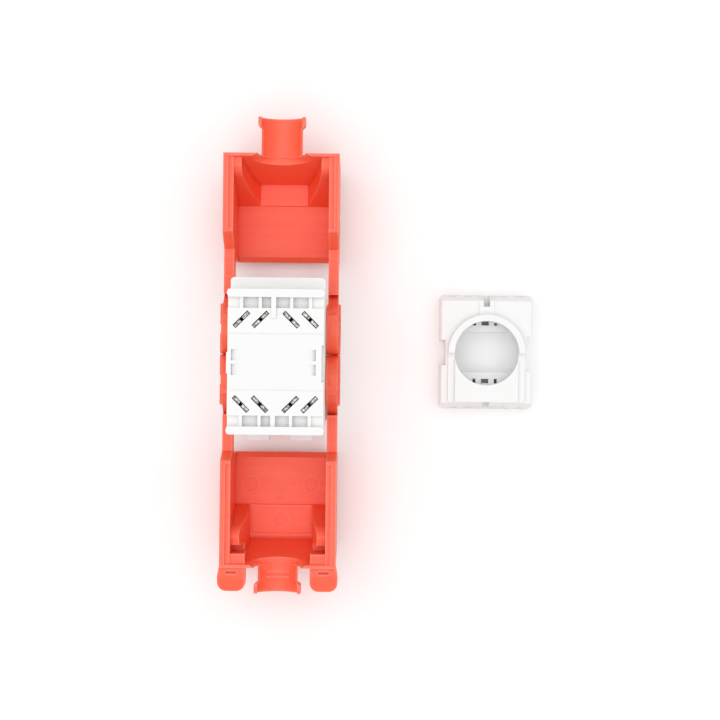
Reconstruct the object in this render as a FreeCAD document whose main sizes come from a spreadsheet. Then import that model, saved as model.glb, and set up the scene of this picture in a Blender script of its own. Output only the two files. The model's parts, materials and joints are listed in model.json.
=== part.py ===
import FreeCAD, Part
import math
import os
import re
import Sketcher

# Toolless keystone jack, both covers folded out, wire organiser lying beside it.
# Frame: port face on z = 0, cable side up, X across the jack, Y along the open covers.
# All dimensions are in millimetres, angles in degrees.
DIMENSIONS = {
    # Hinges
    "hinge_y": 3.7,
    "hinge_z": 10.6,
    "pin_radius": 1.3,
    "pin_play": 0.05,
    "pin_reach": 8.3,
    # Covers, shared by both
    "wing_half": 8.35,
    "wing_inner": 6.85,
    "disc_radius": 3.66,
    "disc_face": 8.7,
    "disc_crown": 8.4,
    "disc_crown_low": 1.2,
    "knuckle_top": 3.4,
    "knuckle_shoulder": 1.9,
    "arm_step": 5.06,
    "arm_step_deep": 1.5,
    "arm_deep": 3.0,
    "rim_gap": 0.15,
    "rim_step": 0.25,
    "rim_split": 7.6,
    "rim_lead": 0.5,
    "floor_depth": 7.6,
    "floor_thick": 1.2,
    "floor_bevel": 0.8,
    "ramp_round": 1.9,
    "channel_rise": 0.25,
    "funnel_lead": 0.6,
    "tongue_inner": 3.4,
    "tongue_outer": 4.4,
    "flange_long": 1.5,
    "flange_outer": 4.7,
    "flange_gap": 0.55,
    "flange_flare": 0.35,
    # Upper cover
    "upper_floor_start": 10.12,
    "upper_slope_start": 11.6,
    "upper_slope_end": 13.9,
    "upper_ramp_foot": 18.5,
    "upper_ramp_knee": 21.9,
    "upper_knee_height": 1.5,
    "upper_ramp_head": 23.5,
    "upper_hump_height": 3.0,
    "upper_wall_foot": 21.65,
    "upper_wall_head": 24.75,
    "upper_wall_out_foot": 24.2,
    "upper_wall_out_head": 25.2,
    "upper_channel_floor": 3.55,
    "upper_channel_rim": 5.8,
    "upper_channel_bow": 45.0,
    "upper_saddle_radius": 5.95,
    "upper_saddle_low": 0.2,
    "upper_tongue_half": 2.95,
    "upper_tongue_root": 24.8,
    "upper_tongue_end": 30.45,
    "upper_flange_half": 3.4,
    # Lower cover
    "lower_floor_start": 10.87,
    "lower_slope_start": 10.4,
    "lower_slope_end": 11.6,
    "lower_ramp_foot": 18.66,
    "lower_ramp_knee": 21.2,
    "lower_knee_height": 0.8,
    "lower_ramp_head": 22.8,
    "lower_hump_height": 2.2,
    "lower_hump_end": 23.86,
    "lower_hump_fall": 0.4,
    "lower_slot_low": -1.5,
    "lower_slot_end": 24.96,
    "lower_post_height": 3.1,
    "lower_wall_foot": 23.7,
    "lower_wall_head": 26.5,
    "lower_wall_out_foot": 26.0,
    "lower_wall_out_head": 26.95,
    "lower_channel_floor": 4.65,
    "lower_channel_rim": 5.95,
    "lower_channel_bow": -40.0,
    "lower_saddle_radius": 5.3,
    "lower_saddle_low": 0.2,
    "lower_tongue_half": 2.87,
    "lower_tongue_root": 26.6,
    "lower_tongue_end": 30.65,
    "lower_flange_half": 3.37,
    "ear_inner": 4.65,
    "ear_outer": 8.65,
    "ear_flare_end": 28.2,
    "ear_end": 30.4,
    "ear_top": 3.2,
    "ear_low": 0.6,
    "ear_drop": 1.0,
    "ear_crest": 28.2,
    "ear_round": 1.3,
    "ear_groove_at": 27.64,
    "ear_groove_long": 1.5,
    "ear_groove_wide": 0.35,
    "ear_groove_deep": 0.5,
    "ridge_at": 27.6,
    "ridge_pitch": 0.8,
    "ridge_half": 1.6,
    "ridge_wide": 0.3,
    "ridge_high": 0.12,
    "mark_radius": 1.05,
    "mark_deep": 0.15,
    "mark_x": 4.5,
    "mark_y": 15.7,
    "channel_mark_y": 20.9,
    # Front housing
    "face_half": 7.25,
    "face_low": -9.6,
    "face_high": 6.9,
    "face_deep": 6.8,
    "neck_half": 6.6,
    "neck_top": 14.4,
    "port_half": 5.9,
    "port_low": -3.2,
    "port_high": 3.5,
    "port_deep": 11.0,
    "clip_half": 3.05,
    "clip_low": -4.5,
    "clip_slot_half": 1.65,
    "clip_slot_low": -5.9,
    "lug_inner": 1.53,
    "lug_outer": 4.7,
    "lug_reach": -12.5,
    "lug_top": 9.6,
    "lug_thick": 1.7,
    "lug_rise": 0.4,
    "latch_half": 3.4,
    "latch_reach": 10.9,
    "latch_thick": 1.1,
    "latch_catch": 7.6,
    "latch_end": 13.0,
    "latch_hook": 1.5,
    "latch_hook_rise": 0.4,
    "latch_tip": 0.3,
    "latch_tip_rise": 0.5,
    "latch_crown": 1.9,
    "latch_finger": 1.2,
    "latch_elbow": 1.4,
    "latch_web": 0.5,
    "latch_web_high": 1.8,
    "board_seat": 11.8,
    "board_room_half": 6.0,
    "board_room_low": -8.9,
    "board_room_high": 6.3,
    "carrier_room_half": 5.4,
    "carrier_room_low": 3.4,
    "carrier_room_high": 5.9,
    "carrier_room_base": 1.6,
    # Circuit board and contact carrier
    "board_thick": 1.2,
    "board_play": 0.1,
    "wire_hole": 0.32,
    "tail_hole": 0.5,
    "carrier_front": 3.6,
    "carrier_play": 0.1,
    "groove_back": 4.1,
    "groove_wide": 0.5,
    # Spring wires of the port
    "wire_pitch": 1.02,
    "wire_thick": 0.35,
    "wire_bend": 2.15,
    "wire_tip_y": 1.25,
    "wire_tip_z": 8.7,
    "wire_lift": 1.0,
    "wire_tip_back": 0.33,
    "wire_tip_rise": 0.15,
    "wire_heel": 0.3,
    # Terminal block
    "block_y": -1.05,
    "block_half": 6.58,
    "block_long": 9.95,
    "rim_half": 6.68,
    "rim_thick": 1.1,
    "rim_height": 1.6,
    "block_top": 26.0,
    "strip_drop": 0.4,
    "strip_inner": 3.94,
    "strip_outer": 7.36,
    "centre_drop": 0.15,
    "window_deep": 1.3,
    "corner_deep": 0.6,
    "rib_inner": 2.15,
    "rib_outer": 4.72,
    "rib_thick": 0.45,
    "key_at": -0.3,
    "key_thick": 0.65,
    "key_reach": 6.0,
    "ledge_out": 11.8,
    "ledge_half": 6.62,
    "ledge_top": 20.0,
    "ledge_root": 0.5,
    "block_round": 0.5,
    "tab_out": 6.75,
    "tab_root": 0.2,
    "tab_lead": 0.35,
    "side_notch": 0.3,
    "tab_base": 21.0,
    "tab_left_low": -1.9,
    "tab_left_high": 1.55,
    "tab_right_low": -2.75,
    "tab_right_high": 2.3,
    "gusset_at": -0.07,
    "gusset_thick": 0.5,
    "gusset_left_out": 6.1,
    "gusset_left_in": 4.95,
    "gusset_right_out": 5.5,
    "gusset_right_in": 4.75,
    "gusset_span": 1.5,
    "gusset_deep": 0.9,
    # Insulation displacement contacts
    "contact_inner": 2.1,
    "contact_outer": 4.7,
    "contact_row": 5.8,
    "contact_lean": 45.0,
    "contact_long": 2.7,
    "contact_thick": 0.42,
    "contact_top": 25.35,
    "contact_base": 19.7,
    "contact_slit": 0.25,
    "contact_mouth": 0.45,
    "contact_mouth_deep": 0.35,
    "contact_slit_deep": 3.6,
    "tail_wide": 0.7,
    "tail_play": 0.2,
    "slot_long": 2.85,
    "slot_wide": 0.62,
    # Wire organiser
    "cap_x": 30.25,
    "cap_y": 0.72,
    "cap_half": 6.78,
    "cap_long": 8.45,
    "cap_high": 6.0,
    "cap_bevel": 0.9,
    "cap_round": 0.55,
    "cap_edge": 0.3,
    "cap_end_bevel": 2.0,
    "cap_notch": 0.78,
    "cap_left_low": -2.0,
    "cap_left_high": 1.75,
    "cap_right_low": -2.9,
    "cap_right_high": 2.35,
    "cap_key_wide": 0.95,
    "cap_key_long": 1.75,
    "cap_key_deep": 2.4,
    "cap_notch_long": 1.0,
    "cap_boss_half": 1.05,
    "cap_boss_low": 5.4,
    "cap_boss_high": 0.25,
    "ring_y": -0.17,
    "ring_inner": 4.75,
    "ring_outer": 5.66,
    "ring_high": 1.0,
    "ring_step": 0.7,
    "shoulder_high": 0.4,
    "shelf_z": 3.0,
    "shelf_half": 5.2,
    "shelf_edge": 3.02,
    "platform_half": 4.65,
    "platform_low": -7.4,
    "shelf_hole_wide": 1.1,
    "shelf_hole_side": 1.6,
    "shelf_hole_slim": 0.46,
    "shelf_hole_near": 4.0,
    "shelf_hole_far": 4.66,
    "shelf_hole_deep": 2.4,
    "entry_inner": 2.7,
    "entry_outer": 4.9,
    "entry_radius": 0.75,
    "entry_z": 3.9,
    "entry_deep": 2.6,
}

doc = FreeCAD.newDocument("keystone_jack")
sheet = doc.addObject("Spreadsheet::Sheet", "Dimensions")
for row, (alias, amount) in enumerate(DIMENSIONS.items(), start=1):
    sheet.set(f"A{row}", alias)
    sheet.set(f"B{row}", str(amount))
    sheet.setAlias(f"B{row}", alias)
doc.recompute()

WORD = re.compile(r"[a-z][a-z_]*")
OVERSHOOT = 1.0


def bound(text):
    """Point every dimension name in an expression at the sheet."""
    def point(found):
        name = found.group()
        return f"Dimensions.{name}" if name in DIMENSIONS else name
    return WORD.sub(point, str(text))


def number(text):
    """Present value of an expression."""
    return float(sheet.evalExpression(bound(text)))


def new_body(name):
    body = doc.addObject("PartDesign::Body", name)
    body.Label = name
    return body


def drive(item, path, text):
    """Bind one property to the sheet, or set it when the text is a plain number."""
    item.setExpression(path, bound(text))


def pin_point(sketch, edge, end, across, up):
    """Hold the end of an edge at driven coordinates."""
    for kind, text in (("DistanceX", across), ("DistanceY", up)):
        index = sketch.addConstraint(Sketcher.Constraint(kind, edge, end, number(text)))
        drive(sketch, f"Constraints[{index}]", text)


def hold_radius(sketch, edge, text):
    index = sketch.addConstraint(Sketcher.Constraint("Radius", edge, number(text)))
    drive(sketch, f"Constraints[{index}]", text)


def add_arc(sketch, start, finish, radius):
    """Arc from start to finish; a positive radius has its centre on the left of the chord."""
    chord = finish - start
    side = FreeCAD.Vector(-chord.y, chord.x, 0).normalize()
    reach = math.sqrt(max(radius ** 2 - chord.Length ** 2 / 4, 0))
    centre = (start + finish) / 2 + side * math.copysign(reach, radius)
    first, last = (start, finish) if radius > 0 else (finish, start)
    begin = math.atan2(first.y - centre.y, first.x - centre.x)
    close = math.atan2(last.y - centre.y, last.x - centre.x)
    if close < begin:
        close += 2 * math.pi
    circle = Part.Circle(centre, FreeCAD.Vector(0, 0, 1), abs(radius))
    return sketch.addGeometry(Part.ArcOfCircle(circle, begin, close))


def add_loop(sketch, corners):
    """Close a chain of edges; a third corner value is the radius of the arc that leaves it."""
    spots = [FreeCAD.Vector(number(corner[0]), number(corner[1]), 0) for corner in corners]
    edges = []
    for place, corner in enumerate(corners):
        start = spots[place]
        finish = spots[(place + 1) % len(spots)]
        if len(corner) == 3:
            radius = number(corner[2])
            edge = add_arc(sketch, start, finish, radius)
            ends = (1, 2) if radius > 0 else (2, 1)
        else:
            edge = sketch.addGeometry(Part.LineSegment(start, finish))
            ends = (1, 2)
        edges.append((edge, ends))
    for place, (edge, ends) in enumerate(edges):
        following, next_ends = edges[(place + 1) % len(edges)]
        sketch.addConstraint(Sketcher.Constraint("Coincident", edge, ends[1], following, next_ends[0]))
    for (edge, ends), corner in zip(edges, corners):
        pin_point(sketch, edge, ends[0], corner[0], corner[1])
        if len(corner) == 3:
            hold_radius(sketch, edge, f"abs({corner[2]})")


def add_circle(sketch, across, up, radius):
    centre = FreeCAD.Vector(number(across), number(up), 0)
    ring = Part.Circle(centre, FreeCAD.Vector(0, 0, 1), number(radius))
    edge = sketch.addGeometry(ring)
    pin_point(sketch, edge, 3, across, up)
    hold_radius(sketch, edge, radius)


def draw(body, name, plane, offset, shapes):
    """Sketch on an origin plane of the body; a shape is a list of corners or a circle tuple."""
    sketch = body.newObject("Sketcher::SketchObject", name)
    support = [item for item in body.Origin.OriginFeatures if item.Role == f"{plane}_Plane"][0]
    sketch.AttachmentSupport = [(support, "")]
    sketch.MapMode = "FlatFace"
    drive(sketch, "AttachmentOffset.Base.z", offset)
    for shape in shapes:
        if isinstance(shape, tuple):
            add_circle(sketch, *shape)
        else:
            add_loop(sketch, shape)
    return sketch


def sweep(kind, body, name, plane, offset, shapes, length, symmetric, back):
    before = body.Shape.Volume if body.Tip else 0.0
    sketch = draw(body, f"{name}_sketch", plane, offset, shapes)
    made = body.newObject(f"PartDesign::{kind}", name)
    made.Profile = sketch
    made.SideType = "Symmetric" if symmetric else "One side"
    made.Reversed = back
    drive(made, "Length", length)
    sketch.Visibility = False
    doc.recompute()
    change = body.Shape.Volume - before
    grows = kind == "Pad"
    if (change > 1e-6) != grows or (change < -1e-6) == grows:
        raise RuntimeError(f"{body.Label} {name} changed the volume by {change}: {made.getStatusString()}")
    return made


def pad(body, name, plane, offset, shapes, length, symmetric=False, back=False):
    return sweep("Pad", body, name, plane, offset, shapes, length, symmetric, back)


def pocket(body, name, plane, offset, shapes, length, symmetric=False, back=False):
    return sweep("Pocket", body, name, plane, offset, shapes, length, symmetric, back)


def box(left, low, right, high):
    """Four corners of a rectangle."""
    return [(left, low), (right, low), (right, high), (left, high)]


def rounded(left, low, right, high, radius):
    """Rectangle with rounded corners."""
    return [
        (f"{left} + {radius}", low),
        (f"{right} - {radius}", low, radius),
        (right, f"{low} + {radius}"),
        (right, f"{high} - {radius}", radius),
        (f"{right} - {radius}", high),
        (f"{left} + {radius}", high, radius),
        (left, f"{high} - {radius}"),
        (left, f"{low} + {radius}", radius),
    ]


def mirrored(corners):
    """The same loop on the other side of the vertical axis."""
    flipped = []
    for place in range(len(corners) - 1, -1, -1):
        across, up = corners[place][:2]
        arc = corners[place - 1][2:]
        flipped.append((f"-({across})", up) + tuple(arc))
    return flipped


def both_sides(corners):
    return [corners, mirrored(corners)]


def dress(body, kind, name, keep, size):
    """Fillet or chamfer every edge of the body that keep() accepts."""
    base = body.Tip
    names = [f"Edge{place}" for place, edge in enumerate(base.Shape.Edges, start=1) if keep(edge)]
    made = body.newObject(f"PartDesign::{kind}", name)
    made.Base = (base, names)
    path = "Radius" if kind == "Fillet" else "Size"
    drive(made, path, size)
    doc.recompute()
    return made


def repeat(body, name, feature, axis, spread, count):
    """Row of copies of one feature along an axis of the body."""
    line = [item for item in body.Origin.OriginFeatures if item.Role == f"{axis}_Axis"][0]
    row = body.newObject("PartDesign::LinearPattern", name)
    row.Originals = [feature]
    row.Direction = (line, [""])
    row.Occurrences = count
    drive(row, "Length", spread)
    body.Tip = row
    doc.recompute()
    return row


def straight(edge, axis):
    """True for a straight edge that runs along the axis."""
    if not isinstance(edge.Curve, Part.Line):
        return False
    return abs(abs(edge.Curve.Direction.dot(axis)) - 1) < 1e-6


def place_body(body, across, along, up, turn=0.0):
    body.Placement = FreeCAD.Placement(
        FreeCAD.Vector(number(across), number(along), number(up)),
        FreeCAD.Rotation(FreeCAD.Vector(0, 0, 1), turn),
    )
    drive(body, "Placement.Base.x", across)
    drive(body, "Placement.Base.y", along)
    drive(body, "Placement.Base.z", up)


def trough(half, inner, outer):
    """Half-tube section about the line where both covers meet."""
    inner_edge = f"hinge_y - sqrt(({inner})^2 - ({half})^2)"
    outer_edge = f"hinge_y - sqrt(({outer})^2 - ({half})^2)"
    return [
        (f"-({half})", inner_edge, inner),
        (half, inner_edge),
        (half, outer_edge, f"-({outer})"),
        (f"-({half})", outer_edge),
    ]


def horned_trough(half, inner_half):
    """Flange section: a band bedded in the trough's wall, its sides raised towards the other cover."""
    horn = "hinge_y - flange_gap"
    bed = "(tongue_inner + tongue_outer) / 2"
    inner_edge = f"hinge_y - sqrt(({bed})^2 - ({inner_half})^2)"
    outer_edge = f"hinge_y - sqrt(flange_outer^2 - ({half})^2)"
    return [
        (f"-({inner_half})", inner_edge, bed),
        (inner_half, inner_edge),
        (inner_half, horn),
        (half, horn),
        (half, outer_edge, "-flange_outer"),
        (f"-({half})", outer_edge),
        (f"-({half})", horn),
        (f"-({inner_half})", horn),
    ]


def notch(centre, radius):
    """Round-bottomed cut that reaches just past the rim of the cover."""
    top = "(hinge_y - rim_gap / 3)"
    half = f"sqrt(({radius})^2 - ({centre} - {top})^2)"
    return [(f"-{half}", top, radius), (half, top)]


def funnel(body, name, near, far, wide, narrow):
    """Cut that narrows from one notch to another between two planes across the cover."""
    wide_sketch = draw(body, f"{name}_wide", "XZ", f"-({near})", [wide])
    narrow_sketch = draw(body, f"{name}_narrow", "XZ", f"-({far})", [narrow])
    cut = body.newObject("PartDesign::SubtractiveLoft", name)
    cut.Profile = wide_sketch
    cut.Sections = [narrow_sketch]
    wide_sketch.Visibility = False
    narrow_sketch.Visibility = False
    doc.recompute()
    return cut


def build_wing(side, turn, along):
    """One cover, drawn with its pivot at the origin, length along +Y and the open side up."""
    body = new_body(f"{side}_wing")
    rim = "hinge_y - rim_gap"
    above = f"hinge_y + {OVERSHOOT}"
    under = "-(floor_depth + floor_thick)"
    behind = f"-disc_radius - {OVERSHOOT}"
    inner_width = "2 * wing_inner"
    start = f"{side}_floor_start"
    foot = f"{side}_ramp_foot"
    wall_foot = f"{side}_wall_foot"
    wall_head = f"{side}_wall_head"
    out_head = f"{side}_wall_out_head"
    end = f"{side}_tongue_end"

    pad(body, f"{side}_flanks", "YZ", "0", [[
        ("0", "-arm_deep"),
        (start, "-arm_deep"),
        (start, under),
        (f"{side}_wall_out_foot", under),
        (out_head, rim),
        (f"{side}_slope_end", rim),
        (f"{side}_slope_start", "0"),
        ("arm_step", "0"),
        ("arm_step", "-arm_step_deep"),
        ("knuckle_shoulder", "knuckle_top"),
        ("0", "knuckle_top"),
    ]], "2 * wing_half", symmetric=True)
    pad(body, f"{side}_discs", "YZ", "0", [("0", "0", "disc_radius")], "2 * disc_face", symmetric=True)

    ramp = [
        (foot, "-floor_depth"),
        (f"{side}_ramp_knee", f"{side}_knee_height", "-ramp_round"),
        (f"{side}_ramp_head", f"{side}_hump_height"),
    ]
    if side == "upper":
        corner_top = [(wall_head, "upper_hump_height")]
    else:
        corner_top = [
            ("lower_hump_end", "lower_hump_height - lower_hump_fall"),
            ("lower_hump_end", "lower_slot_low"),
            ("lower_slot_end", "lower_slot_low"),
            ("lower_slot_end", "lower_post_height"),
            (wall_head, "lower_post_height"),
        ]
    pocket(body, f"{side}_hollow", "YZ", "0", [[
        (behind, f"{under} - {OVERSHOOT}"),
        (start, f"{under} - {OVERSHOOT}"),
        (start, "-(floor_depth + floor_bevel)"),
        (f"{start} + floor_bevel", "-floor_depth"),
        *ramp,
        *corner_top,
        (wall_head, above),
        (behind, above),
    ]], inner_width, symmetric=True)

    channel_low = "channel_rise - floor_depth"
    channel_floor = f"{side}_channel_floor"
    channel_rim = f"{side}_channel_rim"
    pocket(body, f"{side}_channel", "XZ", f"-{foot}", [[
        (f"-{channel_floor}", channel_low),
        (channel_floor, channel_low, f"{side}_channel_bow"),
        (channel_rim, rim),
        (channel_rim, above),
        (f"-{channel_rim}", above),
        (f"-{channel_rim}", rim, f"{side}_channel_bow"),
    ]], f"{out_head} + {OVERSHOOT} - {foot}")
    pad(body, f"{side}_end_wall", "YZ", "0", [[
        (wall_foot, "-floor_depth"),
        (f"{side}_wall_out_foot", under),
        (out_head, rim),
        (wall_head, rim),
    ]], inner_width, symmetric=True)
    if side == "lower":
        add_ears(body)
    saddle = notch(f"{side}_saddle_low + {side}_saddle_radius", f"{side}_saddle_radius")
    throat = notch("hinge_y", "tongue_inner")
    lead = f"{wall_head} - funnel_lead"
    pocket(body, f"{side}_saddle", "XZ", f"-{wall_foot}", [saddle], f"{lead} - {wall_foot}")
    funnel(body, f"{side}_funnel", lead, out_head, saddle, throat)
    pad(body, f"{side}_tongue", "XZ", f"-{side}_tongue_root", [
        trough(f"{side}_tongue_half", "tongue_inner", "tongue_outer"),
    ], f"{end} - {side}_tongue_root", back=True)
    pad(body, f"{side}_flange", "XZ", f"flange_long - {end}", [
        horned_trough(f"{side}_flange_half", f"{side}_tongue_half"),
    ], "flange_long", back=True)
    pocket(body, f"{side}_horn_ends", "XY", "hinge_y", both_sides([
        (f"{side}_tongue_half", f"{end} - flange_long - {OVERSHOOT}"),
        (f"{side}_flange_half + {OVERSHOOT}", f"{end} - flange_long - {OVERSHOOT}"),
        (f"{side}_flange_half + {OVERSHOOT}", f"{end} - flange_long + flange_flare"),
        (f"{side}_flange_half", f"{end} - flange_long + flange_flare"),
        (f"{side}_tongue_half", f"{end} - flange_long"),
    ]), "hinge_y")
    pocket(body, f"{side}_disc_crowns", "XY", "disc_crown_low", both_sides(
        box("disc_crown", behind, f"disc_face + {OVERSHOOT}", f"disc_radius + {OVERSHOOT}"),
    ), "disc_radius", back=True)
    pocket(body, f"{side}_pivot_holes", "YZ", "0", [
        ("0", "0", "pin_radius + pin_play"),
    ], f"2 * disc_face + {OVERSHOOT}", symmetric=True)
    pocket(body, f"{side}_rim_steps", "XY", rim, both_sides(
        box(f"wing_inner - {OVERSHOOT}", f"{side}_slope_end + rim_lead", "rim_split", wall_head),
    ), "rim_step")
    if side == "lower":
        add_marks(body)
        add_ridges(body)
    place_body(body, "0", along, "hinge_z", turn)
    return body


def add_ears(body):
    """Posts in the rear corners of the lower cover, with a rounded release ear behind each."""
    post = box("ear_inner", "lower_slot_end", "wing_inner + rim_step", "lower_wall_head")
    pad(body, "posts", "XY", "-floor_depth", both_sides(post), "floor_depth + lower_post_height")
    ear = [
        ("ear_inner", "lower_wall_head"),
        ("wing_half", "lower_wall_head"),
        ("ear_outer", "ear_flare_end"),
        ("ear_outer", "ear_end - ear_round", "ear_round"),
        ("ear_outer - ear_round", "ear_end"),
        ("ear_inner + ear_round", "ear_end", "ear_round"),
        ("ear_inner", "ear_end - ear_round"),
    ]
    pad(body, "ears", "XY", "ear_low", both_sides(ear), "ear_top - ear_low")
    pocket(body, "ear_slopes", "YZ", "0", [[
        ("ear_crest", "ear_top"),
        (f"ear_end + {OVERSHOOT}", "ear_top - ear_drop"),
        (f"ear_end + {OVERSHOOT}", f"ear_top + {OVERSHOOT}"),
        ("ear_crest", f"ear_top + {OVERSHOOT}"),
    ]], f"2 * (ear_outer + {OVERSHOOT})", symmetric=True)
    middle = "(ear_inner + ear_outer) / 2"
    groove = box(
        f"{middle} - ear_groove_long / 2",
        "ear_groove_at - ear_groove_wide / 2",
        f"{middle} + ear_groove_long / 2",
        "ear_groove_at + ear_groove_wide / 2",
    )
    pocket(body, "ear_grooves", "XY", "ear_top", both_sides(groove), "ear_groove_deep")


def add_marks(body):
    """Shallow round mould marks on the floor of the lower cover."""
    pocket(body, "mould_marks", "XY", "-floor_depth", [
        ("mark_x", "mark_y", "mark_radius"),
        ("-mark_x", "mark_y", "mark_radius"),
    ], "mark_deep")
    pocket(body, "channel_mark", "XY", "channel_rise - floor_depth", [
        ("0", "channel_mark_y", "mark_radius"),
    ], "mark_deep")


def add_ridges(body):
    """Two low ridges across the lower tongue that bite into the cable sheath."""
    ridge = pad(body, "ridge", "XZ", "-ridge_at", [
        trough("ridge_half", "tongue_inner - ridge_high", "tongue_inner + ridge_high"),
    ], "ridge_wide", back=True)
    repeat(body, "ridges", ridge, "Y", "ridge_pitch", 2)


def build_housing():
    """Port, keystone lugs, flexible latch and pivot pins in one moulding."""
    body = new_body("front_housing")
    pad(body, "face", "XY", "0", [box("-face_half", "face_low", "face_half", "face_high")], "face_deep")
    pad(body, "neck", "XY", "face_deep", [
        box("-neck_half", "face_low", "neck_half", "face_high"),
    ], "neck_top - face_deep")
    pad(body, "pivot_pins", "YZ", "0", [
        ("hinge_y", "hinge_z", "pin_radius"),
        ("-hinge_y", "hinge_z", "pin_radius"),
    ], "2 * pin_reach", symmetric=True)
    pad(body, "lugs", "YZ", "0", [[
        ("face_low", "lug_top - lug_thick - lug_rise"),
        ("face_low", "lug_top"),
        ("lug_reach", "lug_top"),
        ("lug_reach", "lug_top - lug_thick"),
    ]], "2 * lug_outer", symmetric=True)
    pocket(body, "lug_gap", "YZ", "0", [
        box(
            f"lug_reach - {OVERSHOOT}",
            f"lug_top - lug_thick - {OVERSHOOT}",
            "face_low",
            f"lug_top + {OVERSHOOT}",
        ),
    ], "2 * lug_inner", symmetric=True)
    pad(body, "latch", "YZ", "0", [[
        ("face_high", "0"),
        ("face_high + latch_thick", "0"),
        ("latch_reach - latch_hook", "latch_catch - latch_hook_rise"),
        ("latch_reach - latch_tip", "latch_catch"),
        ("latch_reach", "latch_catch + latch_tip_rise"),
        ("latch_reach", "latch_catch + latch_crown"),
        ("latch_reach - latch_finger", "latch_end"),
        ("latch_reach - latch_finger - latch_thick", "latch_end"),
        ("latch_reach - latch_finger - latch_thick", "latch_catch + latch_elbow"),
        ("face_high + latch_web", "latch_web_high"),
        ("face_high", "latch_web_high"),
    ]], "2 * latch_half", symmetric=True)
    pocket(body, "port", "XY", "0", [[
        ("-port_half", "port_low"),
        ("-clip_half", "port_low"),
        ("-clip_half", "clip_low"),
        ("-clip_slot_half", "clip_low"),
        ("-clip_slot_half", "clip_slot_low"),
        ("clip_slot_half", "clip_slot_low"),
        ("clip_slot_half", "clip_low"),
        ("clip_half", "clip_low"),
        ("clip_half", "port_low"),
        ("port_half", "port_low"),
        ("port_half", "port_high"),
        ("-port_half", "port_high"),
    ]], "port_deep", back=True)
    pocket(body, "board_room", "XY", "neck_top", [
        box("-board_room_half", "board_room_low", "board_room_half", "board_room_high"),
    ], "neck_top - board_seat")
    pocket(body, "carrier_room", "XY", "board_seat", [
        box("-carrier_room_half", "carrier_room_low", "carrier_room_half", "carrier_room_high"),
    ], "board_seat - carrier_room_base")
    return body


def wire_places():
    """Offsets of the eight spring wires across the port."""
    return [f"({place} - 3.5) * wire_pitch" for place in range(8)]


def contact_places():
    """Column, row and turn of each contact: rows lean towards the middle of the block."""
    places = []
    for row, row_turn in (("contact_row", 1), ("-contact_row", -1)):
        for column, side in (("-contact_outer", 1), ("-contact_inner", 1),
                             ("contact_inner", -1), ("contact_outer", -1)):
            places.append((column, row, row_turn * side))
    return places


def leaning_box(across, along, lean, length, width):
    """Corners of a slot turned about its own centre."""
    cosine = "cos(contact_lean)"
    sine = f"({lean}) * sin(contact_lean)"
    corners = []
    for out, side in ((-1, -1), (1, -1), (1, 1), (-1, 1)):
        reach = f"({out} * ({length}) / 2)"
        shift = f"({side} * ({width}) / 2)"
        corners.append((
            f"{across} + {reach} * {cosine} - {shift} * {sine}",
            f"{along} + {reach} * {sine} + {shift} * {cosine}",
        ))
    return corners


def build_carrier():
    body = new_body("contact_carrier")
    half = "carrier_room_half - carrier_play"
    high = "carrier_room_high - carrier_play"
    pad(body, "carrier", "XY", "carrier_room_base", [
        box(f"-({half})", "carrier_front", half, high),
    ], "board_seat - carrier_room_base")
    pocket(body, "grooves", "XY", "board_seat", [
        box(f"{spot} - groove_wide / 2", f"carrier_front - {OVERSHOOT}",
            f"{spot} + groove_wide / 2", "groove_back")
        for spot in wire_places()
    ], "board_seat - carrier_room_base")
    return body


def build_board():
    body = new_body("circuit_board")
    pad(body, "board", "XY", "board_seat", [
        box("-(board_room_half - board_play)", "board_room_low + board_play",
            "board_room_half - board_play", "board_room_high - board_play"),
    ], "board_thick")
    holes = [(spot, "groove_back - wire_thick / 2", "wire_hole") for spot in wire_places()]
    holes += [(across, f"block_y + {along}", "tail_hole") for across, along, lean in contact_places()]
    pocket(body, "holes", "XY", "board_seat + board_thick", holes, "board_thick")
    return body


def build_wire(place, spot):
    """Hairpin spring wire: tail in the board, run in the carrier, free end in the port."""
    body = new_body(f"jack_wire_{place}")
    front = "groove_back - wire_thick"
    tail = "board_seat + board_thick"
    pad(body, f"hairpin_{place}", "YZ", "0", [[
        (front, tail),
        (front, "wire_bend + wire_lift"),
        ("wire_tip_y + wire_tip_back", "wire_tip_z + wire_tip_rise"),
        ("wire_tip_y", "wire_tip_z"),
        (f"{front} - wire_heel", "wire_bend + wire_tip_rise"),
        (front, "wire_bend"),
        ("groove_back", "wire_bend + wire_heel"),
        ("groove_back", tail),
    ]], "wire_thick", symmetric=True)
    place_body(body, spot, "0", "0")
    return body


def build_contact(place, across, along, lean):
    """Slotted blade with two tines and a solder tail."""
    body = new_body(f"idc_contact_{place}")
    half = "contact_long / 2"
    right = [
        ("contact_slit / 2", "contact_top - contact_slit_deep"),
        ("contact_slit / 2", "contact_top - contact_mouth_deep"),
        ("contact_mouth / 2", "contact_top"),
        (half, "contact_top"),
        (half, "contact_base"),
        ("tail_wide / 2", "contact_base"),
        ("tail_wide / 2", "board_seat"),
    ]
    left = [(f"-({x})", z) for x, z in reversed(right)]
    pad(body, f"blade_{place}", "XZ", "0", [right + left], "contact_thick", symmetric=True)
    place_body(body, across, f"block_y + {along}", "0", lean * number("contact_lean"))
    return body


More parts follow.
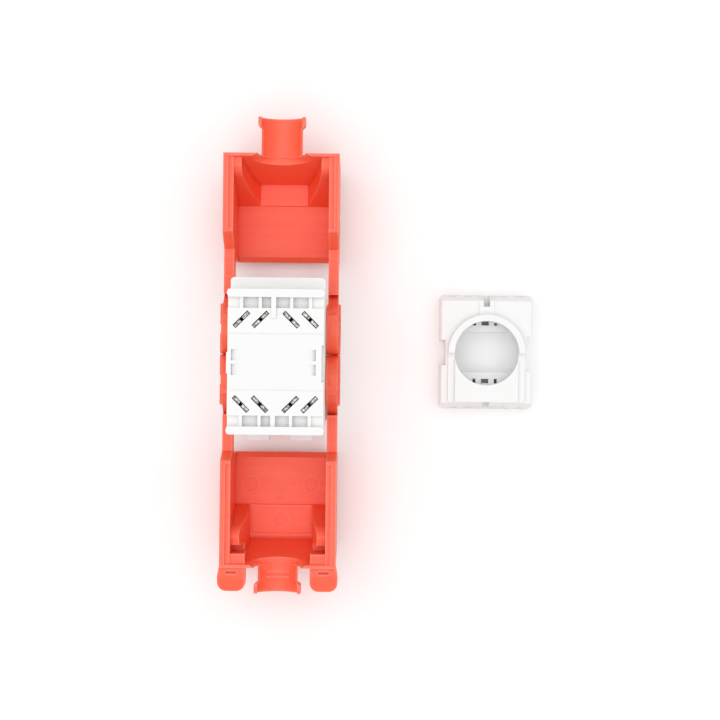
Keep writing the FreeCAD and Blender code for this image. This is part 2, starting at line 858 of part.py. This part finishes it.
def build_block():
    """Terminal block, drawn about its own centre line."""
    body = new_body("idc_block")
    strip = "block_top - strip_drop"
    rim_inner = "block_long - rim_thick"
    ledge_back = "block_long - ledge_root - block_round"
    pad(body, "block", "XY", "neck_top", [
        box("-block_half", "-block_long", "block_half", "block_long"),
    ], f"{strip} - neck_top")
    pad(body, "ledge", "XY", "neck_top", [
        rounded("-ledge_half", ledge_back, "ledge_half", "ledge_out", "block_round"),
    ], "ledge_top - neck_top")
    pad(body, "rims", "XY", "block_top - rim_height", [
        rounded("-rim_half", rim_inner, "rim_half", "block_long", "block_round"),
        rounded("-rim_half", "-block_long", "rim_half", f"-({rim_inner})", "block_round"),
    ], "rim_height")
    pad(body, "tab", "XY", "tab_base", [[
        ("-tab_out", "tab_left_low + tab_lead"),
        ("-block_half + tab_root", "tab_left_low"),
        ("-block_half + tab_root", "tab_left_high"),
        ("-tab_out", "tab_left_high - tab_lead"),
    ]], f"{strip} - tab_base")
    pocket(body, "side_notch", "XY", strip, [
        box("block_half - side_notch", "tab_right_low", f"block_half + {OVERSHOOT}", "tab_right_high"),
    ], f"{strip} - tab_base")
    pad(body, "key", "XY", strip, [
        box("key_at - key_thick / 2", "key_reach", "key_at + key_thick / 2", rim_inner),
    ], "strip_drop")
    pocket(body, "centre", "XY", strip, [
        box(f"-tab_out - {OVERSHOOT}", "-strip_inner", f"tab_out + {OVERSHOOT}", "strip_inner"),
    ], "centre_drop")

    deep = []
    corner = []
    spans = [
        ("-(rib_outer - rib_thick / 2)", "-(rib_inner + rib_thick / 2)"),
        ("-(rib_inner - rib_thick / 2)", "key_at - key_thick / 2"),
        ("key_at + key_thick / 2", "rib_inner - rib_thick / 2"),
        ("rib_inner + rib_thick / 2", "rib_outer - rib_thick / 2"),
    ]
    rows = [("strip_outer", rim_inner), (f"-({rim_inner})", "-strip_outer")]
    for low, high in rows:
        deep += [box(left, low, right, high) for left, right in spans]
        corner += both_sides(box("rib_outer + rib_thick / 2", low, f"block_half + {OVERSHOOT}", high))
    pocket(body, "windows", "XY", strip, deep, "window_deep")
    pocket(body, "corner_windows", "XY", strip, corner, "corner_deep")

    slots = [leaning_box(across, along, lean, "slot_long", "slot_wide")
             for across, along, lean in contact_places()]
    pocket(body, "contact_slots", "XY", strip, slots, f"{strip} - contact_base")
    tails = [leaning_box(across, along, lean, "tail_wide + tail_play", "slot_wide")
             for across, along, lean in contact_places()]
    pocket(body, "tail_slots", "XY", "contact_base", tails, f"contact_base - neck_top")

    near = "gusset_at + gusset_thick / 2"
    far = "gusset_at - gusset_thick / 2 - gusset_span"
    level = f"{strip} - centre_drop"
    bottom = f"{level} - gusset_deep"
    wedges = [
        [("-gusset_left_in", level), ("-gusset_left_out", level), ("-gusset_left_out", bottom)],
        [("gusset_right_in", level), ("gusset_right_out", bottom), ("gusset_right_out", level)],
    ]
    pocket(body, "recesses_near", "XZ", f"-({near})", wedges, "gusset_span")
    pocket(body, "recesses_far", "XZ", f"-({far})", wedges, "gusset_span")
    place_body(body, "0", "block_y", "0")
    return body


def build_organiser():
    """Wire organiser with its ring collar, lying on the table beside the jack."""
    body = new_body("wire_organiser")
    notch_x = "cap_half - cap_notch"
    key = "cap_key_wide / 2"
    pad(body, "plate", "XY", "0", [
        rounded("-cap_half", "-cap_long", "cap_half", "cap_long", "cap_round"),
    ], "cap_high")
    pocket(body, "side_notches", "XY", "cap_high", [
        box(notch_x, "cap_right_low", f"cap_half + {OVERSHOOT}", "cap_right_high"),
        box(f"-cap_half - {OVERSHOOT}", "cap_left_low", f"-({notch_x})", "cap_left_high"),
    ], "cap_high")
    bevel = [
        (f"cap_long + {OVERSHOOT}", f"cap_high + {OVERSHOOT}"),
        ("cap_long - cap_bevel", f"cap_high + {OVERSHOOT}"),
        ("cap_long - cap_bevel", "cap_high"),
        ("cap_long", "cap_high - cap_end_bevel"),
        (f"cap_long + {OVERSHOOT}", "cap_high - cap_end_bevel"),
    ]
    pocket(body, "end_bevels", "YZ", "0", both_sides(bevel), f"2 * (cap_half + {OVERSHOOT})", symmetric=True)
    top = number("cap_high")
    side = number("cap_half")

    def long_edge(edge):
        """Top edges along both long sides of the plate."""
        middle = edge.CenterOfMass
        on_edge = middle.z > top - 1e-4 and abs(middle.x) > side - 1e-4
        return on_edge and straight(edge, FreeCAD.Vector(0, 1, 0))

    dress(body, "Fillet", "plate_edges", long_edge, "cap_edge")
    pad(body, "platform", "XY", "cap_high", [
        box("-platform_half", "platform_low", "platform_half", "ring_y"),
    ], "ring_high")
    pad(body, "shoulder", "XY", "cap_high", [
        box("-ring_outer", "platform_low", "ring_outer", "ring_y"),
    ], "shoulder_high")
    pad(body, "half_ring", "XY", "cap_high", [[
        ("-ring_outer", "ring_y"),
        ("ring_outer", "ring_y", "ring_outer"),
        ("0", "ring_y + ring_outer", "ring_outer"),
    ]], "ring_high + ring_step")
    pad(body, "key_boss", "XY", "cap_high", [
        box("-cap_boss_half", "cap_boss_low", "cap_boss_half", "cap_long - cap_bevel"),
    ], "cap_boss_high")
    pocket(body, "collar_hole", "XY", f"cap_high + ring_high + ring_step", [
        ("0", "ring_y", "ring_inner"),
    ], "cap_high + ring_high + ring_step - shelf_z")
    pocket(body, "cable_slot", "XY", "shelf_z", [
        box("-shelf_half", "-shelf_edge", "shelf_half", "shelf_edge"),
    ], "shelf_z")
    pocket(body, "key_slot", "XY", f"cap_high + {OVERSHOOT}", [
        box(f"-({key})", "cap_long - cap_key_long", key, f"cap_long + {OVERSHOOT}"),
        box(f"-({key})", f"-cap_long - {OVERSHOOT}", key, "-cap_long + cap_notch_long"),
    ], f"cap_key_deep + {OVERSHOOT}")
    holes = []
    for low, high in (("shelf_hole_near", "shelf_hole_far"), ("-shelf_hole_far", "-shelf_hole_near")):
        holes.append(box("-shelf_hole_wide / 2", low, "shelf_hole_wide / 2", high))
        holes += both_sides(box("shelf_hole_side - shelf_hole_slim / 2", low,
                                "shelf_hole_side + shelf_hole_slim / 2", high))
    pocket(body, "shelf_holes", "XY", "shelf_z", holes, "shelf_hole_deep")
    entries = [
        (f"{sign} * {across}", "entry_z", "entry_radius")
        for across in ("entry_inner", "entry_outer") for sign in (-1, 1)
    ]
    pocket(body, "entries_near", "XZ", "cap_long", entries, "entry_deep")
    pocket(body, "entries_far", "XZ", "-cap_long", entries, "entry_deep", back=True)
    place_body(body, "cap_x", "cap_y", "0")
    return body


nodes = [build_housing(), build_block(), build_carrier(), build_board()]
for index, spot in enumerate(wire_places(), start=1):
    nodes.append(build_wire(index, spot))
for index, (across, along, lean) in enumerate(contact_places(), start=1):
    nodes.append(build_contact(index, across, along, lean))
nodes.append(build_wing("upper", 0.0, "hinge_y"))
nodes.append(build_wing("lower", 180.0, "-hinge_y"))
nodes.append(build_organiser())
doc.recompute()

for item in doc.Objects:
    if any(flag in ("Invalid", "Error") for flag in item.State):
        raise RuntimeError(f"{item.Name} did not compute: {item.State}")

os.makedirs("parts", exist_ok=True)
for node in nodes:
    shape = node.Shape
    if shape.isNull() or not shape.isValid() or len(shape.Solids) != 1:
        raise RuntimeError(f"{node.Label} is not one valid solid: {len(shape.Solids)} solids")
    shape.exportStep(f"parts/{node.Label}.step")
    print(node.Label, round(shape.Volume, 2), shape.BoundBox)
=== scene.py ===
import json
import math

import bpy
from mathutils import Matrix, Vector


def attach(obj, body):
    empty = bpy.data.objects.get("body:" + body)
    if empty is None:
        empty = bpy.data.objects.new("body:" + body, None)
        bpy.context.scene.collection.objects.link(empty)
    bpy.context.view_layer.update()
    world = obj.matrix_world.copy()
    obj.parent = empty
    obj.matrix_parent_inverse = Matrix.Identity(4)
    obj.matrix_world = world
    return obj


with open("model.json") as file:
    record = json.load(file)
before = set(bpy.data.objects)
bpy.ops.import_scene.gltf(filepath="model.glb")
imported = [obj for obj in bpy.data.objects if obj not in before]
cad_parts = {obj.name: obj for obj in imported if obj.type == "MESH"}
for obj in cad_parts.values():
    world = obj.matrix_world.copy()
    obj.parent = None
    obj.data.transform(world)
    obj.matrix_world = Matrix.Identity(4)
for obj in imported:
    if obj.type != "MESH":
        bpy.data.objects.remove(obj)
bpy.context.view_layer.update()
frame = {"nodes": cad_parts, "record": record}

MM = 0.001
SIDES = {"left": -1, "right": 1}

# Hinge axes run along X, in millimetres: the upper cover's at HINGE_Y, the lower one's at -HINGE_Y.
HINGE_Y, HINGE_Z = 3.7, 10.6
KNUCKLE_RADIUS = 3.66

# Small recesses on the terminal block, in millimetres: from the inner to the outer end across
# the block, and from the low to the high end along it.
RECESS_ACROSS = {"left": (-4.95, -6.1), "right": (4.75, 5.5)}
RECESS_ALONG = {"near": (-0.88, 0.64), "far": (-2.88, -1.36)}

# The real spark-eroded grain is near 0.03 mm. It is drawn ten times as coarse, or it wouldn't show.
GRAIN_MM = 0.3
# Tool marks of the mould run across the part as faint streaks, drawn about five times as coarse.
STREAK_MM = 0.7
STREAK_STRETCH = (0.08, 1.0, 1.0)
# Outer edges get a painted highlight over the first width, and creases a painted shade over the
# second.
EDGE_HIGHLIGHT_MM, CREASE_SHADE_MM = 0.35, 0.7
OCCLUSION_SAMPLES = 6


def linear(code):
    """sRGB hex to the linear colour that a shader socket takes."""
    parts = [int(code[i:i + 2], 16) / 255 for i in (1, 3, 5)]
    return [p / 12.92 if p <= 0.04045 else ((p + 0.055) / 1.055) ** 2.4 for p in parts] + [1.0]


def add(tree, kind, inputs=(), **settings):
    """Add a node, set its properties, then fill its sockets with values or links."""
    made = tree.nodes.new(kind)
    for name, value in settings.items():
        setattr(made, name, value)
    for socket, value in dict(inputs).items():
        if isinstance(value, bpy.types.NodeSocket):
            tree.links.new(value, made.inputs[socket])
        else:
            made.inputs[socket].default_value = value
    return made


def new_material(name):
    """Material with an empty node tree."""
    material = bpy.data.materials.new(name)
    material.use_nodes = True
    tree = material.node_tree
    tree.nodes.clear()
    return material, tree


def per_mm(size):
    """Texture scale that gives features of this size in millimetres."""
    return 1 / (size * MM)


def moulded_plastic(name, base, deep, edge, crease_shade, roughness, grain_depth, scatter, reach_mm):
    """Injection-moulded thermoplastic: faint streaks from base to deep colour, a soft sheen broken
    by spark-eroded grain, a painted highlight on outer edges and a painted shade in creases."""
    material, tree = new_material(name)
    place = add(tree, "ShaderNodeTexCoord").outputs["Object"]

    stretched = add(tree, "ShaderNodeMapping", {"Vector": place, "Scale": STREAK_STRETCH})
    streak = add(tree, "ShaderNodeTexNoise", {
        "Vector": stretched.outputs["Vector"], "Scale": per_mm(STREAK_MM), "Detail": 3.0})
    body = add(tree, "ShaderNodeMix", {
        "Factor": streak.outputs["Fac"], "A": linear(base), "B": linear(deep)}, data_type="RGBA")

    # Painted highlight: outer edges, found by occlusion inside the part, are mixed towards the edge
    # colour.
    inward = add(tree, "ShaderNodeAmbientOcclusion", {"Distance": EDGE_HIGHLIGHT_MM * MM},
                 samples=OCCLUSION_SAMPLES, inside=True, only_local=True)
    painted_highlight = add(tree, "ShaderNodeMapRange", {
        "Value": inward.outputs["AO"],
        "From Min": 0.5, "From Max": 0.95, "To Min": 0.55, "To Max": 0.0})
    wear_and_highlight = add(tree, "ShaderNodeMix", {
        "Factor": painted_highlight.outputs["Result"], "A": body.outputs["Result"], "B": linear(edge)},
        data_type="RGBA")

    # Painted shade: creases, found by occlusion outside the part, are mixed towards the crease
    # colour.
    outward = add(tree, "ShaderNodeAmbientOcclusion", {"Distance": CREASE_SHADE_MM * MM},
                  samples=OCCLUSION_SAMPLES, only_local=True)
    painted_shade = add(tree, "ShaderNodeMapRange", {
        "Value": outward.outputs["AO"],
        "From Min": 0.4, "From Max": 0.95, "To Min": 0.6, "To Max": 0.0})
    tint = add(tree, "ShaderNodeMix", {
        "Factor": painted_shade.outputs["Result"], "A": wear_and_highlight.outputs["Result"], "B": linear(crease_shade)},
        data_type="RGBA")

    grain = add(tree, "ShaderNodeTexNoise", {
        "Vector": place, "Scale": per_mm(GRAIN_MM), "Detail": 4.0})
    gloss = add(tree, "ShaderNodeMapRange", {
        "Value": grain.outputs["Fac"], "To Min": roughness - 0.06, "To Max": roughness + 0.06})
    relief = add(tree, "ShaderNodeBump", {
        "Height": grain.outputs["Fac"], "Strength": 0.35, "Distance": grain_depth * MM})

    shader = add(tree, "ShaderNodeBsdfPrincipled", {
        "Base Color": tint.outputs["Result"],
        "Roughness": gloss.outputs["Result"],
        "IOR": 1.53,
        "Subsurface Weight": scatter,
        "Subsurface Radius": [length * MM for length in reach_mm],
        "Subsurface Scale": 1.0,
        "Normal": relief.outputs["Normal"],
    })
    add(tree, "ShaderNodeOutputMaterial", {"Surface": shader.outputs[0]})
    return material


def plated_metal(name, base, wear_and_highlight, patch_mm, roughness):
    """Thin plating on stamped copper alloy: bright, with patches that have worn dull."""
    material, tree = new_material(name)
    place = add(tree, "ShaderNodeTexCoord").outputs["Object"]
    patch = add(tree, "ShaderNodeTexNoise", {
        "Vector": place, "Scale": per_mm(patch_mm), "Detail": 4.0})
    dull = add(tree, "ShaderNodeMapRange", {
        "Value": patch.outputs["Fac"], "From Min": 0.4, "From Max": 0.6})
    tint = add(tree, "ShaderNodeMix", {
        "Factor": dull.outputs["Result"], "A": linear(base), "B": linear(wear_and_highlight)}, data_type="RGBA")
    gloss = add(tree, "ShaderNodeMapRange", {
        "Value": dull.outputs["Result"], "To Min": roughness - 0.08, "To Max": roughness + 0.12})
    shader = add(tree, "ShaderNodeBsdfPrincipled", {
        "Base Color": tint.outputs["Result"],
        "Metallic": 1.0,
        "Roughness": gloss.outputs["Result"],
    })
    add(tree, "ShaderNodeOutputMaterial", {"Surface": shader.outputs[0]})
    return material


# Coral red polycarbonate lets light in a little way, so shaded walls stay warm and bright. Its
# paler outer edges are a painted highlight, and its darker creases a painted shade.
red_plastic = moulded_plastic(
    "polycarbonate_coral_red",
    base="#ff6846", deep="#f95434", edge="#ff9480", crease_shade="#e2412b",
    roughness=0.42, grain_depth=0.012, scatter=0.2, reach_mm=(1.2, 0.4, 0.25))
# White polycarbonate is almost opaque and satin: flat faces look like paper, and steps show as thin
# grey lines, partly real shade and partly painted shade in the creases. Its outer edges carry a
# faint painted highlight.
white_plastic = moulded_plastic(
    "polycarbonate_white",
    base="#efefef", deep="#ededec", edge="#f3f3f3", crease_shade="#dddcda",
    roughness=0.38, grain_depth=0.010, scatter=0.08, reach_mm=(0.8, 0.8, 0.8))
# Ivory liquid crystal polymer is dull and a little chalky behind the bright spring wires.
# Its paler edges and darker creases are a painted highlight and a painted shade.
carrier_plastic = moulded_plastic(
    "liquid_crystal_polymer_ivory",
    base="#e4e2dc", deep="#dddad2", edge="#eae8e2", crease_shade="#cfccc4",
    roughness=0.5, grain_depth=0.010, scatter=0.0, reach_mm=(0.5, 0.5, 0.5))
# Glass laminate under green solder resist is dark and slightly glossy. Its paler outer edges are a
# painted highlight, and its darker creases a painted shade.
board_laminate = moulded_plastic(
    "glass_laminate_green",
    base="#1f5a34", deep="#1a4c2c", edge="#4d7050", crease_shade="#173f25",
    roughness=0.45, grain_depth=0.010, scatter=0.0, reach_mm=(0.5, 0.5, 0.5))
# Tin plate on bronze has gone dull in patches, so a blade looks grey and mottled between its
# slot's dark sides.
tin_plate = plated_metal(
    "tin_plated_bronze", base="#aeaca8", wear_and_highlight="#73716d", patch_mm=0.25, roughness=0.40)
# Gold plate on bronze gives thin, warm, bright lines in the port.
gold_plate = plated_metal(
    "gold_plated_bronze", base="#e3c27a", wear_and_highlight="#c79f55", patch_mm=0.8, roughness=0.25)

FINISH = {
    "white_moulding": white_plastic,
    "red_moulding": red_plastic,
    "carrier_moulding": carrier_plastic,
    "board": board_laminate,
    "gold_plate": gold_plate,
    "tin_plate": tin_plate,
}
EDGE_MM = {
    "white_moulding": 0.12,
    "red_moulding": 0.16,
    "carrier_moulding": 0.06,
    "board": 0.03,
    "gold_plate": 0.03,
    "tin_plate": 0.03,
}


def soften_edges(piece, radius):
    """Real edges are never knife sharp: weld the shell, drop flat seams, round the corners."""
    weld = piece.modifiers.new("weld", "WELD")
    weld.merge_threshold = 0.0005 * MM
    flat = piece.modifiers.new("flat", "DECIMATE")
    flat.decimate_type = "DISSOLVE"
    flat.angle_limit = math.radians(1.0)
    edge = piece.modifiers.new("edge", "BEVEL")
    edge.width = radius * MM
    edge.segments = 2
    edge.limit_method = "ANGLE"
    edge.angle_limit = math.radians(32)
    piece.modifiers.new("smooth", "WEIGHTED_NORMAL")


def place_detail(name, data, body, kind):
    """Put a small mesh or curve on a body, as one with a moulding of this kind."""
    data.materials.append(FINISH[kind])
    piece = bpy.data.objects.new(name, data)
    bpy.context.scene.collection.objects.link(piece)
    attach(piece, body)


def mesh_detail(name, points, faces, body, kind):
    """Small mesh with its points in millimetres."""
    mesh = bpy.data.meshes.new(name)
    mesh.from_pydata([[value * MM for value in point] for point in points], [], faces)
    place_detail(name, mesh, body, kind)


def bar_detail(name, first, last, body, kind):
    """Straight bar between two equal end faces. The first runs anticlockwise seen from outside."""
    count = len(first)
    faces = [tuple(range(count)), tuple(range(2 * count - 1, count - 1, -1))]
    for step in range(count):
        after = (step + 1) % count
        faces.append((after, step, count + step, count + after))
    mesh_detail(name, first + last, faces, body, kind)


def raised_numeral(centre, width, height, stroke):
    """Plain cavity number that the mould leaves on the floor of the lower cover."""
    half, rise = width / 2, height / 2
    # The corner at the foot comes twice, so that the smooth line turns sharply there.
    path = [
        (-half, rise * 0.45), (-half, rise), (half, rise), (half, rise * 0.3),
        (0.0, -rise * 0.35), (-half, -rise), (-half, -rise), (0.0, -rise), (half, -rise),
    ]
    line = bpy.data.curves.new("cavity_number", "CURVE")
    line.dimensions = "3D"
    line.bevel_depth = stroke / 2 * MM
    line.bevel_resolution = 2
    line.use_fill_caps = True
    run = line.splines.new("NURBS")
    run.points.add(len(path) - 1)
    for point, (across, along) in zip(run.points, path):
        point.co = ((centre[0] + across) * MM, (centre[1] + along) * MM, centre[2] * MM, 1.0)
    run.order_u = 3
    run.use_endpoint_u = True
    place_detail("cavity_number", line, "lower_cover", "red_moulding")


def hinge_washer(place, body, along):
    """Thin rubbing face on the inside of a knuckle, which closes the gap to the housing."""
    steps, bore, rim = 48, 1.4, 3.6
    left, right = sorted(SIDES[place] * face for face in (6.65, 6.87))
    rings = (left, bore), (left, rim), (right, rim), (right, bore)
    points = []
    for across, radius in rings:
        for step in range(steps):
            turn = 2 * math.pi * step / steps
            points.append((
                across, along + radius * math.cos(turn), HINGE_Z + radius * math.sin(turn)))
    faces = []
    for ring in range(len(rings)):
        here, there = ring * steps, (ring + 1) % len(rings) * steps
        for step in range(steps):
            after = (step + 1) % steps
            faces.append((here + step, here + after, there + after, there + step))
    mesh_detail(f"hinge_washer_{body}_{place}", points, faces, body, "red_moulding")


def hinge_stop(place):
    """Lobe on a lower knuckle that reaches under the upper one and closes the slit between them."""
    steps, drop, play = 12, 2.3, 0.03
    root_top, root_foot = -0.5, -1.2
    reach = KNUCKLE_RADIUS + play
    outline = [(root_top, HINGE_Z)]
    for step in range(steps + 1):
        low = drop * step / steps
        outline.append((HINGE_Y - math.sqrt(reach ** 2 - low ** 2), HINGE_Z - low))
    outline.append((root_foot, HINGE_Z - drop))
    left, right = sorted(SIDES[place] * face for face in (7.32, 8.35))
    first = [(left, *point) for point in outline]
    last = [(right, *point) for point in outline]
    bar_detail(f"hinge_stop_{place}", first, last, "lower_cover", "red_moulding")


def channel_rib():
    """Low round rib across the lower cover's cable channel, at the foot of its end wall."""
    steps, half_length, half_width = 10, 4.6, 0.36
    middle, floor, high, root = -26.98, 3.25, 0.14, 0.4
    outline = [(middle + half_width, floor - root)]
    for step in range(steps + 1):
        turn = math.pi * step / steps
        outline.append((middle + half_width * math.cos(turn), floor + high * math.sin(turn)))
    outline.append((middle - half_width, floor - root))
    first = [(half_length, *point) for point in outline]
    last = [(-half_length, *point) for point in outline]
    bar_detail("channel_rib", first, last, "lower_cover", "red_moulding")


def recess_fillet(place, row):
    """Rounded floor in a recess of the terminal block: level at its inner end, steep outside."""
    steps, level, deep, drop, root = 10, 25.45, 0.9, 0.6, 0.05
    inner, outer = RECESS_ACROSS[place]
    low, high = RECESS_ALONG[row]
    outline = [(outer, level - deep - root), (inner, level - root)]
    for step in range(steps + 1):
        part = step / steps
        outline.append((inner + (outer - inner) * part, level - drop * part ** 2))
    if outer > inner:
        outline.reverse()
    first = [(across, low, up) for across, up in outline]
    last = [(across, high, up) for across, up in outline]
    bar_detail(f"recess_fillet_{place}_{row}", first, last, "jack", "white_moulding")


def looked_at(tree):
    """Factor that is 1 for what the camera sees straight, mirrored or through something clear."""
    ray = add(tree, "ShaderNodeLightPath").outputs
    mirrored = add(tree, "ShaderNodeMath", {
        0: ray["Is Glossy Ray"], 1: ray["Is Transmission Ray"]}, operation="MAXIMUM")
    either = add(tree, "ShaderNodeMath", {
        0: ray["Is Camera Ray"], 1: mirrored.outputs[0]}, operation="MAXIMUM")
    return either.outputs[0]


def make_floor(half, fade_start, fade_end):
    """White table top that keeps the shadow near the part and fades to plain white farther out."""
    mesh = bpy.data.meshes.new("table_top")
    corners = [(-half, -half, 0), (half, -half, 0), (half, half, 0), (-half, half, 0)]
    mesh.from_pydata(corners, [], [(0, 1, 2, 3)])
    floor = bpy.data.objects.new("table_top", mesh)
    floor.location.z = -0.02 * MM
    bpy.context.scene.collection.objects.link(floor)

    # Matt white paper throws plain light back at the part, and looks a touch whiter than it is.
    material, tree = new_material("white_paper")
    paper = add(tree, "ShaderNodeBsdfDiffuse", {"Color": linear("#fafafa")})
    lit_paper = add(tree, "ShaderNodeBsdfDiffuse", {"Color": linear("#fdfdfd")})
    glow = add(tree, "ShaderNodeEmission", {"Color": linear("#fffefe"), "Strength": 0.03})
    near = add(tree, "ShaderNodeAddShader", {0: lit_paper.outputs[0], 1: glow.outputs[0]})
    far = add(tree, "ShaderNodeEmission", {"Color": linear("#ffffff"), "Strength": 1.0})
    place = add(tree, "ShaderNodeTexCoord").outputs["Object"]
    away = add(tree, "ShaderNodeVectorMath", {0: place}, operation="LENGTH")
    fade = add(tree, "ShaderNodeMapRange", {
        "Value": away.outputs["Value"], "From Min": fade_start, "From Max": fade_end})
    seen = add(tree, "ShaderNodeMixShader", {
        0: fade.outputs["Result"], 1: near.outputs[0], 2: far.outputs[0]})
    shader = add(tree, "ShaderNodeMixShader", {
        0: looked_at(tree), 1: paper.outputs[0], 2: seen.outputs[0]})
    add(tree, "ShaderNodeOutputMaterial", {"Surface": shader.outputs[0]})
    mesh.materials.append(material)


def make_world(strength):
    """Even white room: lights the part at this strength, and looks plain white behind it."""
    world = bpy.data.worlds.new("studio")
    bpy.context.scene.world = world
    world.use_nodes = True
    tree = world.node_tree
    tree.nodes.clear()
    light = add(tree, "ShaderNodeBackground", {"Color": linear("#ffffff"), "Strength": strength})
    backdrop = add(tree, "ShaderNodeBackground", {"Color": linear("#ffffff"), "Strength": 1.0})
    sky = add(tree, "ShaderNodeMixShader", {
        0: looked_at(tree), 1: light.outputs[0], 2: backdrop.outputs[0]})
    add(tree, "ShaderNodeOutputWorld", {"Surface": sky.outputs[0]})


def add_light(name, spot, size, watts, colour):
    """Square softbox that faces the part."""
    lamp = bpy.data.lights.new(name, "AREA")
    lamp.shape = "SQUARE"
    lamp.size = size
    lamp.energy = watts
    lamp.color = linear(colour)[:3]
    holder = bpy.data.objects.new(name, lamp)
    holder.location = spot
    holder.rotation_euler = (-Vector(spot)).to_track_quat("-Z", "Y").to_euler()
    bpy.context.scene.collection.objects.link(holder)


def make_camera(spot, field, height, roll):
    """Camera straight above the table. The field is the width of table in view."""
    data = bpy.data.cameras.new("overhead")
    data.sensor_width = 36
    data.lens = data.sensor_width * height / field
    data.clip_start = 0.01
    data.clip_end = 20
    camera = bpy.data.objects.new("overhead", data)
    camera.location = (*spot, height)
    camera.rotation_euler.z = math.radians(roll)
    bpy.context.scene.collection.objects.link(camera)
    bpy.context.scene.camera = camera


slot_of = {part["node"]: part["material_slot"] for part in frame["record"]["subparts"]}
for name, piece in frame["nodes"].items():
    kind = slot_of[name]
    piece.data.materials.clear()
    piece.data.materials.append(FINISH[kind])
    soften_edges(piece, EDGE_MM[kind])

raised_numeral(centre=(-0.15, -20.7, 3.0), width=0.85, height=1.6, stroke=0.2)
for place in SIDES:
    hinge_washer(place, "upper_cover", HINGE_Y)
    hinge_washer(place, "lower_cover", -HINGE_Y)
    hinge_stop(place)
channel_rib()
for row in RECESS_ALONG:
    for place in RECESS_ACROSS:
        recess_fillet(place, row)

make_floor(half=2.0, fade_start=0.12, fade_end=0.35)
make_world(strength=0.68)
add_light("overhead_softbox", spot=(-0.03, -0.01, 0.8), size=0.9, watts=3.3, colour="#ffffff")
add_light("side_fill", spot=(-0.5, 0.35, 0.6), size=0.6, watts=0.2, colour="#f8faff")
make_camera(spot=(11.56 * MM, -0.66 * MM), field=109.1 * MM, height=260 * MM, roll=0.62)

bpy.context.scene.view_settings.view_transform = "Standard"
